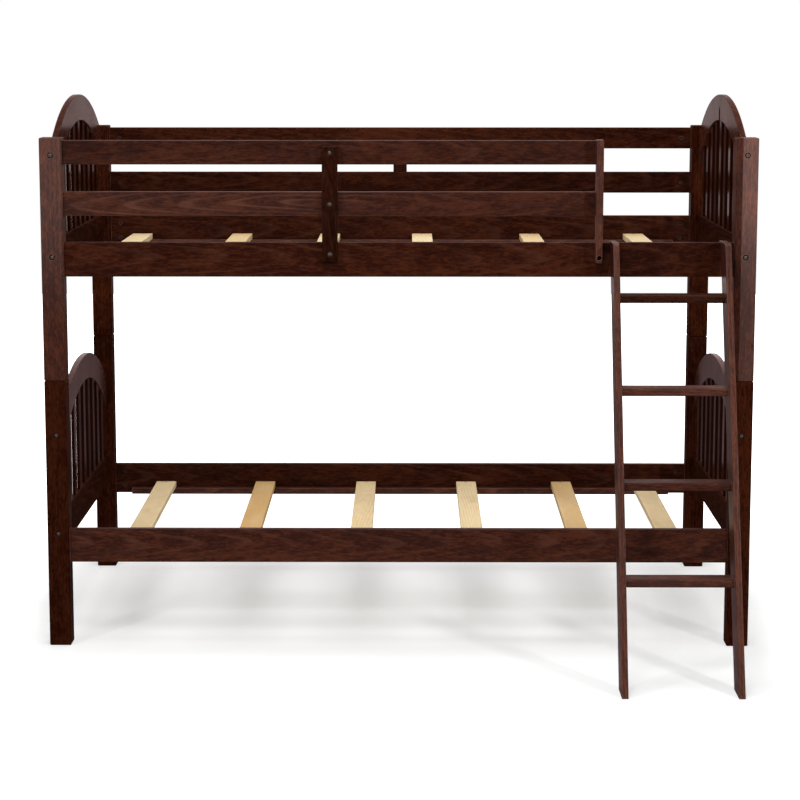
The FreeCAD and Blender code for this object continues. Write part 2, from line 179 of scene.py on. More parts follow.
class Effects:
    """The shader node groups that the finishes share."""

    def __init__(self) -> None:
        """Builds each group once."""
        self.grain = self.build_grain()
        self.edges = self.build_edges()
        self.handling = self.build_handling()

    @staticmethod
    def build_grain() -> bpy.types.NodeTree:
        """Growth rings, fibres and pores of a sawn board, with the grain along the first axis.

        Returns:
            The node group.
        """
        pen, given, out = new_group(
            "sawn_grain",
            {
                "Place": ("Vector", None),
                "Heart": ("Vector", (0.0, 0.03, 0.0)),
                "Slope": ("Float", 0.02),
                "Ring": ("Float", 0.009),
                "Warp": ("Float", 0.03),
            },
            {k: "Float" for k in ("Rings", "Fibre", "Pores", "Drift", "Curl", "Fleck")},
        )
        place = given.outputs["Place"]
        long_place = pen.vector("MULTIPLY", place, (1.0, 6.0, 6.0))
        wander = pen.math("SUBTRACT", pen.noise(long_place, 1.7, 1.5), 0.5)
        ripple = pen.math("SUBTRACT", pen.noise(long_place, 7.0, 2.0), 0.5)
        apart = pen.add("SeparateXYZ", {0: pen.vector("ADD", place, given.outputs["Heart"])})
        lift = pen.math("MULTIPLY", apart.outputs[0], given.outputs["Slope"])
        bow = pen.math("MULTIPLY", wander, given.outputs["Warp"])
        across = pen.math("ADD", apart.outputs[1], bow)
        deep = pen.math("ADD", apart.outputs[2], lift)
        flat = pen.add("CombineXYZ", {0: 0.0, 1: across, 2: deep})
        radius = pen.add("VectorMath", {0: flat.outputs[0]}, operation="LENGTH").outputs[1]
        radius = pen.math("ADD", radius, pen.math("MULTIPLY", ripple, 0.004))
        turn = pen.math("FRACT", pen.math("DIVIDE", radius, given.outputs["Ring"]))
        rise = pen.remap(turn, 0.5, 0.84)
        fall = pen.remap(turn, 0.86, 0.98, (1.0, 0.0))
        faint = pen.remap(pen.noise(long_place, 2.3, 1.0), 0.35, 0.65, (0.25, 1.0))
        pen.feed(out.inputs["Rings"], pen.math("MULTIPLY", pen.math("MULTIPLY", rise, fall), faint))
        fine = pen.vector("MULTIPLY", place, (14.0, 700.0, 700.0))
        pen.feed(out.inputs["Fibre"], pen.noise(fine, 1.0, 3.0, 0.6))
        dashes = pen.vector("MULTIPLY", place, (45.0, 1300.0, 1300.0))
        pen.feed(out.inputs["Pores"], pen.remap(pen.noise(dashes, 1.0, 1.0), 0.6, 0.72))
        broad = pen.vector("MULTIPLY", place, (2.6, 13.0, 13.0))
        pen.feed(out.inputs["Drift"], pen.remap(pen.noise(broad, 1.0, 3.5, 0.55), 0.3, 0.72))
        bend = pen.add("TexNoise", {"Vector": broad, "Scale": 1.6, "Detail": 1.0})
        swirl = pen.vector("MULTIPLY", place, (17.0, 42.0, 42.0))
        swirl = pen.vector("ADD", swirl, pen.vector("MULTIPLY", bend.outputs[1], (4.0, 4.0, 4.0)))
        pen.feed(out.inputs["Curl"], pen.remap(pen.noise(swirl, 1.0, 3.0, 0.6), 0.38, 0.66))
        specks = pen.vector("MULTIPLY", place, (60.0, 230.0, 230.0))
        pen.feed(out.inputs["Fleck"], pen.remap(pen.noise(specks, 1.0, 2.0, 0.6), 0.36, 0.66))
        return pen.tree

    @staticmethod
    def build_edges() -> bpy.types.NodeTree:
        """A broken mask along outside edges, where the finish is thin, and where the stained wood
        is painted with a highlight along its eased edges.

        Returns:
            The node group.
        """
        pen, given, out = new_group(
            "thin_and_highlit_edges",
            {"Place": ("Vector", None), "Width": ("Float", 0.003)},
            {"Mask": "Float"},
        )
        soft = pen.add("Bevel", {"Radius": given.outputs["Width"]}, samples=6)
        flat = pen.add("NewGeometry")
        normals = {0: soft.outputs[0], 1: flat.outputs["Normal"]}
        turn = pen.add("VectorMath", normals, operation="DOT_PRODUCT")
        bend = pen.remap(turn.outputs[1], 0.995, 0.88)
        patches = pen.remap(pen.noise(given.outputs["Place"], 38.0, 3.0), 0.3, 0.62, (0.45, 1.0))
        pen.feed(out.inputs["Mask"], pen.math("MULTIPLY", bend, patches, clamp=True))
        return pen.tree

    @staticmethod
    def build_handling() -> bpy.types.NodeTree:
        """Cloudy handling marks and fine rub marks that change the gloss.

        Returns:
            The node group.
        """
        outputs = {"Clouds": "Float", "Rubs": "Float"}
        pen, given, out = new_group("handling", {"Place": ("Vector", None)}, outputs)
        place = given.outputs["Place"]
        pen.feed(out.inputs["Clouds"], pen.remap(pen.noise(place, 9.0, 4.0, 0.6), 0.3, 0.7))
        streaks = pen.vector("MULTIPLY", place, (30.0, 160.0, 160.0))
        pen.feed(out.inputs["Rubs"], pen.remap(pen.noise(streaks, 1.0, 2.0), 0.6, 0.75))
        return pen.tree


@dataclass(frozen=True)
class Lie:
    """How a piece lies.

    Attributes:
        grain: The way its grain runs.
        width: The way its width runs.
        cell_way: For a node of several pieces, the way that they follow each other.
        cell_start: Where the first of those pieces' cells starts, in metres.
        cell_pitch: The length of a cell, in metres.
    """

    grain: Way
    width: Way
    cell_way: Way | None = None
    cell_start: float = 0.0
    cell_pitch: float = 1.0

    def turn(self) -> Matrix:
        """The rotation that puts the grain on the first axis and the width on the second."""
        along = self.grain.vector()
        across = self.width.vector()
        return Matrix((along, across, along.cross(across)))


class Finish:
    """A material with a mapping that starts at the piece's own middle."""

    def __init__(self, name: str, node: str, lie: Lie) -> None:
        """Starts a material for one CAD node.

        Args:
            name: The finish's plain name.
            node: The CAD node that it dresses.
            lie: How the piece lies.
        """
        self.material = bpy.data.materials.new(f"{name}_{node}")
        self.material.use_nodes = True
        self.pen = Wiring(self.material.node_tree)
        self.chance = random.Random(f"{name}-{node}")
        low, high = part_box(node)
        turn = lie.turn()
        shift = Vector([self.chance.uniform(3.0, 40.0), 0.0, 0.0])
        middle = turn @ ((low + high) / 2.0)
        mapping = self.pen.add("Mapping", {"Vector": self.pen.add("TexCoord").outputs["Object"]})
        mapping.inputs["Rotation"].default_value = turn.to_euler("XYZ")
        mapping.inputs["Location"].default_value = shift - middle
        self.place = mapping.outputs[0]
        self.shift = shift
        self.odd: object = 0.0
        if lie.cell_way:
            self.place = self.spread_cells(lie)

    def spread_cells(self, lie: Lie) -> bpy.types.NodeSocket:
        """Gives each piece of a group its own stretch of timber.

        Args:
            lie: How the pieces lie.

        Returns:
            The place to read the timber at.
        """
        pen = self.pen
        reach = pen.math("SUBTRACT", self.spot_along(lie.cell_way), lie.cell_start)
        cell = pen.math("FLOOR", pen.math("DIVIDE", reach, lie.cell_pitch))
        odd = pen.math("FRACT", pen.math("ADD", pen.math("MULTIPLY", cell, 0.6180339), 0.9))
        self.odd = odd
        along, aside = pen.math("MULTIPLY", cell, 1.37), pen.math("MULTIPLY", odd, 0.05)
        jump = pen.add("CombineXYZ", {0: along, 1: aside})
        return pen.vector("ADD", self.place, jump.outputs[0])

    def part_along(self, vector: bpy.types.NodeSocket, way: Way) -> bpy.types.NodeSocket:
        """The part of a vector along a direction."""
        inputs = {0: vector, 1: way.value}
        return self.pen.add("VectorMath", inputs, operation="DOT_PRODUCT").outputs[1]

    def spot_along(self, way: Way) -> bpy.types.NodeSocket:
        """How far along a direction each point of the piece is."""
        return self.part_along(self.pen.add("TexCoord").outputs["Object"], way)

    def facing(self, way: Way) -> bpy.types.NodeSocket:
        """How squarely each face looks along a direction, to either side."""
        normal = self.pen.add("NewGeometry").outputs["Normal"]
        return self.pen.math("ABSOLUTE", self.part_along(normal, way))

    def beyond(self, way: Way, line: float) -> bpy.types.NodeSocket:
        """A mask of the side of a line that is nearer the middle of the bed."""
        return self.pen.remap(self.spot_along(way), line + 0.0012, line - 0.0012)

    def hairline(self, way: Way, line: float) -> bpy.types.NodeSocket:
        """A mask of a fine line that dies away upwards.

        Args:
            way: The direction across the line.
            line: Where the line is along that direction, in metres.

        Returns:
            The mask.
        """
        pen = self.pen
        off = pen.math("ABSOLUTE", pen.math("SUBTRACT", self.spot_along(way), line))
        off = pen.math("ADD", off, pen.math("MULTIPLY", pen.noise(self.place, 30.0), 0.002))
        tall = pen.remap(self.spot_along(Way.Z), 1.552, 1.52)
        return pen.math("MULTIPLY", pen.remap(off, 0.02, 0.006), tall)

    def close(self, shader: bpy.types.Node) -> bpy.types.Material:
        """Joins the shader to the material's output."""
        self.pen.add("OutputMaterial", {"Surface": shader.outputs[0]})
        return self.material


@dataclass(frozen=True)
class Fade:
    """A darkening along a direction, towards the piece's plain colour: a deeper stain on the lower
    front guard board, and the fading out of the painted highlight on the upper front posts.

    Attributes:
        way: The direction.
        start: Where it starts, in metres.
        end: Where it is full, in metres.
        amount: How far it goes there, up to 1.
    """

    way: Way
    start: float
    end: float
    amount: float


@dataclass(frozen=True)
class Cut:
    """How a stained piece was sawn and lacquered, and where shade and highlights are painted on it.

    Attributes:
        heart: Depth of the log's heart behind the face, in metres.
        aside: How far the heart lies to one side, in metres.
        along: Where along the piece the growth rings turn back, in metres.
        slope: How steeply the heart runs out of the face.
        ring: Width of a growth ring, in metres.
        figure: How plainly the growth rings show.
        wear_and_highlight: How much the edges are lightened, partly thin stain where they are
            rubbed and partly a painted highlight along the eased edges.
        sheen: Strength of the lacquer's reflections.
        dull: Added roughness.
        painted_shade_amount: How much painted shade darkens the faces across one direction.
        painted_shade_way: The direction that those faces look along.
        fade: How the colour darkens along the piece, or None.
        dark_strip: X of a line with a darker strip beyond it, towards the middle of the bed, or 0.
        check: Y of a fine dark line that dies away upwards, or 0.
    """

    heart: float = 0.05
    aside: float = 0.0
    along: float = 0.0
    slope: float = 0.045
    ring: float = 0.0072
    figure: float = 0.3
    wear_and_highlight: float = 0.5
    sheen: float = 0.12
    dull: float = 0.0
    painted_shade_amount: float = 0.0
    painted_shade_way: Way = Way.Y
    fade: Fade | None = None
    dark_strip: float = 0.0
    check: float = 0.0


class Tone(Enum):
    """How light a piece is against an even one, partly the wood's own difference and partly painted
    light: upper and front pieces painted lighter, lower and back ones darker, with a painted sheen
    added on the lightest.
    """

    BRIGHT = (2.8, 0.050)
    SUNNY = (1.8, 0.026)
    WARM = (1.75, 0.010)
    FRESH = (1.25, 0.004)
    EVEN = (1.0, 0.0)
    SHADY = (0.7, 0.0)
    DEEP = (0.5, 0.0)

    def shade(self, colour: tuple) -> tuple:
        """The colour at this tone."""
        strength, painted_sheen = self.value
        return tuple(part * strength + painted_sheen for part in colour) + (1.0,)


@dataclass(frozen=True)
class StainedWood:
    """Dark stained and lacquered hardwood."""

    effects: Effects
    deep: tuple = (0.0170, 0.0024, 0.0007)
    body: tuple = (0.0540, 0.0118, 0.0038)
    line: tuple = (0.1100, 0.0430, 0.0250)
    edge: tuple = (0.3000, 0.1600, 0.1200)
    gloss: float = 0.38

    def make(
        self, node: str, lie: Lie, tone: Tone = Tone.EVEN, cut: Cut = Cut()
    ) -> bpy.types.Material:
        """Makes the finish for one node.

        Args:
            node: The CAD node's name.
            lie: How the piece lies.
            tone: How light the piece is, partly its own stain and partly painted light.
            cut: How the piece was sawn from the log, its sheen, and the shade and highlights
                painted on it.

        Returns:
            The material.
        """
        work = Finish("stained_wood", node, lie)
        pen = work.pen
        grain = self.sawn(work, cut)
        edges = pen.add("Group", node_tree=self.effects.edges)
        pen.feed(edges.inputs["Place"], work.place)
        colour = self.stain(work, grain, tone, cut)
        fibre, pores = grain.outputs["Fibre"], grain.outputs["Pores"]
        rough = self.lacquer(work, pores, lie, cut)
        if cut.check:
            dark_line_mask = work.hairline(Way.Y, cut.check)
            colour = pen.mix(dark_line_mask, colour, self.deep + (1.0,))
            rough = pen.math("MAXIMUM", rough, dark_line_mask)
        # The edges are lightened: partly thin stain where they are rubbed, partly a painted
        # highlight along the eased edges.
        worn_and_highlit = pen.math("MULTIPLY", edges.outputs["Mask"], cut.wear_and_highlight)
        colour = pen.mix(worn_and_highlit, colour, tone.shade(self.edge))
        height = pen.math("SUBTRACT", pen.math("MULTIPLY", fibre, 0.4), pores)
        bump = pen.add("Bump", {"Height": height, "Strength": 0.15, "Distance": 0.0004})
        inputs = {"Base Color": colour, "Roughness": rough, "Normal": bump.outputs[0]}
        shader = pen.add("BsdfPrincipled", inputs)
        shader.inputs["Specular IOR Level"].default_value = cut.sheen
        return work.close(shader)

    def sawn(self, work: Finish, cut: Cut) -> bpy.types.Node:
        """Adds the timber's pattern.

        Args:
            work: The finish under way.
            cut: How the piece was sawn from the log.

        Returns:
            The pattern's group node.
        """
        grain = work.pen.add("Group", node_tree=self.effects.grain)
        work.pen.feed(grain.inputs["Place"], work.place)
        aside = cut.aside + work.chance.uniform(-0.01, 0.01)
        grain.inputs["Heart"].default_value = (cut.along - work.shift.x, aside, cut.heart)
        grain.inputs["Slope"].default_value = cut.slope
        grain.inputs["Ring"].default_value = cut.ring * work.chance.uniform(0.85, 1.15)
        grain.inputs["Warp"].default_value = 0.05
        return grain

    def stain(
        self, work: Finish, grain: bpy.types.Node, tone: Tone, cut: Cut
    ) -> bpy.types.NodeSocket:
        """The stain's colour over the timber, with painted shade and painted highlight on some
        pieces.

        Args:
            work: The finish under way.
            grain: The pattern's group node.
            tone: How light the piece is, partly its own stain and partly painted light.
            cut: Where it is deeper, and where shade is painted.

        Returns:
            The colour.
        """
        pen = work.pen
        deep, body, line = (tone.shade(c) for c in (self.deep, self.body, self.line))
        rings, fibre, pores, drift, curl, fleck = (
            grain.outputs[k] for k in ("Rings", "Fibre", "Pores", "Drift", "Curl", "Fleck")
        )
        mottle = pen.math("ADD", pen.math("MULTIPLY", drift, 0.3), pen.math("MULTIPLY", curl, 0.3))
        mottle = pen.remap(pen.math("ADD", mottle, pen.math("MULTIPLY", fleck, 0.4)), 0.1, 0.9)
        colour = pen.mix(mottle, deep, body)
        colour = pen.mix(pen.math("MULTIPLY", rings, cut.figure), colour, line)
        colour = pen.mix(pen.remap(fibre, 0.4, 0.8, (0.0, 0.12)), colour, line)
        colour = pen.mix(pen.math("MULTIPLY", pores, 0.4), colour, deep)
        cells = pen.vector("MULTIPLY", work.place, (4.0, 13.0, 13.0))
        spots = pen.add("TexVoronoi", {"Vector": cells, "Scale": 1.0}).outputs["Distance"]
        colour = pen.mix(pen.remap(spots, 0.07, 0.03, (0.0, 0.75)), colour, self.deep + (1.0,))
        plain = pen.mix(mottle, self.deep + (1.0,), self.body + (1.0,))
        if cut.dark_strip:
            strip = pen.math("MULTIPLY", work.beyond(Way.X, cut.dark_strip), 0.8)
            colour = pen.mix(strip, colour, plain)
        if cut.fade:
            spot, ends = work.spot_along(cut.fade.way), (0.0, cut.fade.amount)
            colour = pen.mix(pen.remap(spot, cut.fade.start, cut.fade.end, ends), colour, plain)
        # Painted shade: faces that look along one direction are darkened.
        if cut.painted_shade_amount:
            painted_shade_mask = pen.math("MULTIPLY", pen.remap(work.facing(cut.painted_shade_way), 0.7, 0.9), cut.painted_shade_amount)
            colour = pen.mix(painted_shade_mask, colour, tuple(0.4 * part for part in self.deep) + (1.0,))
        return colour

    def lacquer(
        self, work: Finish, pores: bpy.types.NodeSocket, lie: Lie, cut: Cut
    ) -> bpy.types.NodeSocket:
        """How rough the lacquer is.

        Args:
            work: The finish under way.
            pores: The timber's open pores.
            lie: How the piece lies.
            cut: How dull the piece is. In a node of several pieces each has its own share of it.

        Returns:
            The roughness.
        """
        pen = work.pen
        marks = pen.add("Group", node_tree=self.effects.handling)
        pen.feed(marks.inputs["Place"], work.place)
        rough = pen.math("ADD", pen.math("MULTIPLY", marks.outputs["Clouds"], 0.08), self.gloss)
        dull = cut.dull
        if lie.cell_way:
            dull = pen.math("MULTIPLY", pen.math("SUBTRACT", work.odd, 0.6), cut.dull)
        rough = pen.math("ADD", rough, dull)
        return pen.math("ADD", rough, pen.math("MULTIPLY", pores, 0.15))


@dataclass(frozen=True)
class BarePine:
    """Planed softwood with knots."""

    effects: Effects
    early: tuple = (0.82, 0.61, 0.32, 1.0)
    late: tuple = (0.60, 0.34, 0.09, 1.0)
    knot: tuple = (0.26, 0.115, 0.04, 1.0)
    pale: tuple = (0.93, 0.76, 0.46, 1.0)

    def make(self, node: str, lie: Lie, honey_part: float) -> bpy.types.Material:
        """Makes the finish for one node.

        Args:
            node: The CAD node's name.
            lie: How the pieces lie.
            honey_part: How dark the darkest pieces are.

        Returns:
            The material.
        """
        work = Finish("bare_pine", node, lie)
        pen = work.pen
        grain = pen.add("Group", node_tree=self.effects.grain)
        pen.feed(grain.inputs["Place"], work.place)
        aside = work.chance.uniform(-0.02, 0.02)
        grain.inputs["Heart"].default_value = (-work.shift.x, aside, 0.07)
        grain.inputs["Slope"].default_value = 0.045
        grain.inputs["Ring"].default_value = 0.0065
        grain.inputs["Warp"].default_value = 0.02
        spots = pen.vector("MULTIPLY", work.place, (4.2, 12.0, 12.0))
        cells = pen.add("TexVoronoi", {"Vector": spots, "Scale": 1.0, "Randomness": 1.0})
        ragged = pen.math("MULTIPLY", grain.outputs["Fibre"], 0.05)
        near = pen.math("ADD", cells.outputs["Distance"], ragged)
        knots = pen.remap(near, 0.11, 0.07)
        halo = pen.remap(near, 0.3, 0.06)
        edges = pen.add("Group", node_tree=self.effects.edges)
        pen.feed(edges.inputs["Place"], work.place)
        rings, fibre, drift = (grain.outputs[k] for k in ("Rings", "Fibre", "Drift"))
        colour = pen.mix(work.odd, self.pale, self.early)
        honey = pen.math("MULTIPLY", pen.remap(work.odd, 0.55, 0.9), honey_part)
        colour = pen.mix(honey, colour, self.late)
        colour = pen.mix(pen.math("MULTIPLY", drift, 0.35), colour, self.pale)
        colour = pen.mix(pen.math("MULTIPLY", grain.outputs["Curl"], 0.18), colour, self.late)
        colour = pen.mix(pen.math("MULTIPLY", rings, 0.42), colour, self.late)
        colour = pen.mix(pen.remap(fibre, 0.45, 0.8, (0.0, 0.25)), colour, self.late)
        colour = pen.mix(pen.math("MULTIPLY", halo, 0.35), colour, self.late)
        colour = pen.mix(knots, colour, self.knot)
        colour = pen.mix(pen.math("MULTIPLY", edges.outputs["Mask"], 0.5), colour, self.pale)
        rough = pen.math("ADD", pen.math("MULTIPLY", fibre, 0.15), 0.5)
        height = pen.math("ADD", fibre, pen.math("MULTIPLY", rings, 0.6))
        bump = pen.add("Bump", {"Height": height, "Strength": 0.3, "Distance": 0.0003})
        inputs = {"Base Color": colour, "Roughness": rough, "Normal": bump.outputs[0]}
        shader = pen.add("BsdfPrincipled", inputs)
        return work.close(shader)


@dataclass(frozen=True)
class Steel:
    """Plated or blackened steel with rubbed edges.

    Attributes:
        effects: The shared node groups.
        name: The finish's plain name.
        dull: Its colour where it is dull.
        bright: Its colour where it is rubbed.
        roughness: How rough it is where it isn't rubbed.
    """

    effects: Effects
    name: str
    dull: tuple
    bright: tuple
    roughness: float

    def make(self, node: str, lie: Lie) -> bpy.types.Material:
        """Makes the finish for one node.

        Args:
            node: The CAD node's name.
            lie: How the pieces lie.

        Returns:
            The material.
        """
        work = Finish(self.name, node, lie)
        pen = work.pen
        marks = pen.add("Group", node_tree=self.effects.handling)
        pen.feed(marks.inputs["Place"], work.place)
        edges = pen.add("Group", node_tree=self.effects.edges)
        pen.feed(edges.inputs["Place"], work.place)
        edges.inputs["Width"].default_value = 0.0008
        speckle = pen.remap(pen.noise(work.place, 900.0, 3.0), 0.35, 0.7)
        colour = pen.mix(pen.math("MULTIPLY", speckle, 0.35), self.dull, self.bright)
        colour = pen.mix(edges.outputs["Mask"], colour, self.bright)
        rough = pen.math("ADD", pen.math("MULTIPLY", marks.outputs["Rubs"], 0.15), self.roughness)
        bump = pen.add("Bump", {"Height": speckle, "Strength": 0.15, "Distance": 0.0001})
        inputs = {"Base Color": colour, "Roughness": rough, "Normal": bump.outputs[0]}
        shader = pen.add("BsdfPrincipled", inputs)
        shader.inputs["Metallic"].default_value = 0.85
        return work.close(shader)


@dataclass
class Workshop:
    """Hands out the finishes."""

    effects: Effects

    def __post_init__(self) -> None:
        """Sets up each finish."""
        self.stained = StainedWood(self.effects)
        self.pine = BarePine(self.effects)
        # The blackened steel's colour is lifted so bolt heads read lit down in their counterbores:
        # partly its own colour, partly painted light.
        self.black = self.steel("black_steel", (0.12, 0.1, 0.085, 1), (0.3, 0.27, 0.25, 1), 0.5)
        # A darker copy of the blackened steel for the fasteners on the inner faces, which sit in
        # shade: painted shade.
        self.oiled = self.steel("oiled_steel", (0.03, 0.022, 0.019, 1), (0.08, 0.06, 0.055, 1), 0.5)
        self.zinc = self.steel("zinc_steel", (0.3, 0.3, 0.32, 1), (0.62, 0.62, 0.64, 1), 0.32)

    def steel(self, name: str, dull: tuple, bright: tuple, roughness: float) -> Steel:
        """One kind of steel."""
        return Steel(self.effects, name, dull, bright, roughness)

    @staticmethod
    def dress(node: str, material: bpy.types.Material) -> None:
        """Puts a material on every slot of a CAD node.

        Args:
            node: The CAD node's name.
            material: Its material.
        """
        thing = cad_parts[node]
        if not thing.material_slots:
            thing.data.materials.append(material)
        for place in thing.material_slots:
            place.material = material
        log.info("%s dressed in %s", node, material.name)


@dataclass
class Bunk:
    """One bunk: posts, end panels, side boards, ledgers, slats and fasteners."""

    name: str
    shop: Workshop
    post_tones: dict
    honey_part: float
    slat_start: float = -0.68
    slat_pitch: float = 0.315

    def build(self) -> None:
        """Dresses every piece of the bunk."""
        self.posts()
        self.side_boards()
        self.end_panels()
        self.slats()
        self.fasteners()

    def stained(self, piece: str, lie: Lie, tone: Tone = Tone.EVEN, cut: Cut = Cut()) -> None:
        """Dresses one stained piece of this bunk."""
        node = f"{self.name}_{piece}"
        self.shop.dress(node, self.shop.stained.make(node, lie, tone, cut))

    def posts(self) -> None:
        """The four posts."""
        straight = Cut(
            heart=0.13, aside=0.05, slope=0.01, ring=0.012, figure=0.12, sheen=0.006, wear_and_highlight=0.15
        )
        for end in ("front", "back"):
            for side in ("left", "right"):
                piece = f"{end}_{side}"
                cut = straight
                if piece == "front_right":
                    cut = replace(cut, dark_strip=DARK_STRIP_X)
                # Painted highlight: the upper front posts are lighter near the top and fade out
                # downwards.
                if (self.name, end) == ("upper", "front"):
                    cut = replace(cut, fade=Fade(Way.Z, 1.32, 0.88, 0.7 if side == "left" else 0.5))
                self.stained(f"post_{piece}", Lie(Way.Z, Way.Y), self.post_tones[piece], cut)

    def side_boards(self) -> None:
        """The two side rails and the ledgers inside them."""
        front = Tone.EVEN if self.name == "upper" else Tone.FRESH
        for end, tone in (("front", front), ("back", Tone.EVEN)):
            cut = Cut(heart=0.06, along=0.9, figure=0.22, sheen=0.05)
            self.stained(f"side_rail_{end}", Lie(Way.X, Way.Z), tone, cut)
            self.stained(f"ledger_{end}", Lie(Way.X, Way.Z), Tone.WARM)

    def end_panels(self) -> None:
        """The arch rails, the bottom rails and the flat spindles between them."""
        low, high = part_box(f"{self.name}_spindles_left")
        pitch = (high.y - low.y - SPINDLE_WIDTH) / (SPINDLE_COUNT - 1)
        start = low.y + SPINDLE_WIDTH / 2.0 - pitch / 2.0
        sheen = 0.007 if self.name == "upper" else 0.13
        arch = Cut(sheen=sheen, dull=-0.22, wear_and_highlight=0.1)
        # Painted shade on the spindles' narrow front and back faces.
        thin = Cut(sheen=0.3 * sheen + 0.01, dull=0.55, wear_and_highlight=0.1, painted_shade_amount=0.95, figure=0.1)
        for side in ("left", "right"):
            cut = arch
            if (self.name, side) == ("upper", "right"):
                cut = replace(arch, check=(low.y + high.y) / 2.0)
            board = Lie(Way.Y, Way.Z)
            self.stained(f"arch_rail_{side}", board, Tone.FRESH, cut)
            # The bottom rails' darker tone is partly painted shade, low in the end panels.
            self.stained(f"bottom_rail_{side}", board, Tone.SHADY, Cut(sheen=0.004, dull=0.2))
            slim = Lie(Way.Z, Way.Y, Way.Y, start, pitch)
            self.stained(f"spindles_{side}", slim, Tone.EVEN, thin)

    def slats(self) -> None:
        """The pine slats."""
        node = f"{self.name}_slats"
        lie = Lie(Way.Y, Way.X, Way.X, self.slat_start, self.slat_pitch)
        self.shop.dress(node, self.shop.pine.make(node, lie, self.honey_part))

    def fasteners(self) -> None:
        """Bolts, cross dowels and screws."""
        lie = Lie(Way.X, Way.Y)
        for piece, steel in (
            ("frame_bolts", self.shop.black),
            # The cross dowels and ledger screws on the inner faces take the darker steel: painted
            # shade.
            ("barrel_nuts", self.shop.oiled),
            ("ledger_screws", self.shop.oiled),
            ("slat_screws", self.shop.zinc),
        ):
            node = f"{self.name}_{piece}"
            self.shop.dress(node, steel.make(node, lie))


@dataclass
class GuardRails:
    """The boards, straps and end upright round the upper bunk, and the pins below it."""

    shop: Workshop

    def build(self) -> None:
        """Dresses the guard rails."""
        plain = Cut(heart=0.09, figure=0.2, along=-0.6)
        matt = replace(plain, sheen=0.03)
        darker = Fade(Way.X, -0.3, 0.1, 0.6)
        bold = Cut(heart=0.012, slope=0.075, ring=0.0105, figure=0.4, along=-0.3, fade=darker)
        self.stained("guard_board_low_front", Lie(Way.X, Way.Z), Tone.FRESH, bold)
        self.stained("guard_board_top_front", Lie(Way.X, Way.Z), Tone.EVEN, plain)
        self.stained("guard_board_low_back", Lie(Way.X, Way.Z), Tone.SHADY, matt)
        self.stained("guard_board_top_back", Lie(Way.X, Way.Z), Tone.EVEN, matt)
        self.stained("guard_strap_front", Lie(Way.Z, Way.X), Tone.DEEP, matt)
        self.stained("guard_strap_back", Lie(Way.Z, Way.X), Tone.SHADY, matt)
        self.stained("guard_end_upright", Lie(Way.Z, Way.Y), Tone.WARM, plain)
        self.shop.dress("guard_screws", self.shop.black.make("guard_screws", Lie(Way.X, Way.Y)))
        self.shop.dress("bunk_pins", self.shop.zinc.make("bunk_pins", Lie(Way.Z, Way.X)))

    def stained(self, node: str, lie: Lie, tone: Tone, cut: Cut) -> None:
        """Dresses one stained piece."""
        self.shop.dress(node, self.shop.stained.make(node, lie, tone, cut))


@dataclass
class Ladder:
    """The leaning ladder: stiles, steps, hooks and screws."""

    shop: Workshop

    def build(self) -> None:
        """Dresses the ladder."""
        lie = Lie(Way.UP_LADDER, Way.ACROSS_LADDER)
        # Painted shade on the stiles' side faces.
        cut = Cut(heart=0.1, slope=0.01, figure=0.25, dull=-0.1, painted_shade_amount=0.45, painted_shade_way=Way.X)
        for side in ("left", "right"):
            stile = f"ladder_stile_{side}"
            self.shop.dress(stile, self.shop.stained.make(stile, lie, Tone.WARM, cut))
            hook = f"ladder_hook_{side}"
            self.shop.dress(hook, self.shop.black.make(hook, Lie(Way.Z, Way.X)))
        for number, tone in enumerate((Tone.WARM, Tone.FRESH, Tone.WARM, Tone.SHADY), 1):
            step = f"ladder_rung_{number}"
            flat = Cut(sheen=0.06)
            self.shop.dress(step, self.shop.stained.make(step, Lie(Way.X, Way.Y), tone, flat))
        for screws in ("ladder_screws", "ladder_hook_screws"):
            self.shop.dress(screws, self.shop.black.make(screws, Lie(Way.X, Way.Y)))


@dataclass(frozen=True)
class Lamp:
    """A soft lamp: where it stands, what it points at, its size and its power."""

    name: str
    spot: tuple
    aim: tuple
    size: float
    power: float
    colour: tuple = (1.0, 1.0, 1.0)

    def build(self) -> None:
        """Adds the lamp to the scene."""
        data = bpy.data.lights.new(self.name, "AREA")
        data.shape = "DISK"
        data.size = self.size
        data.energy = self.power
        data.color = self.colour
        thing = bpy.data.objects.new(self.name, data)
        thing.location = self.spot
        sight = Vector(self.aim) - Vector(self.spot)
        thing.rotation_euler = sight.to_track_quat("-Z", "Y").to_euler()
        bpy.context.scene.collection.objects.link(thing)


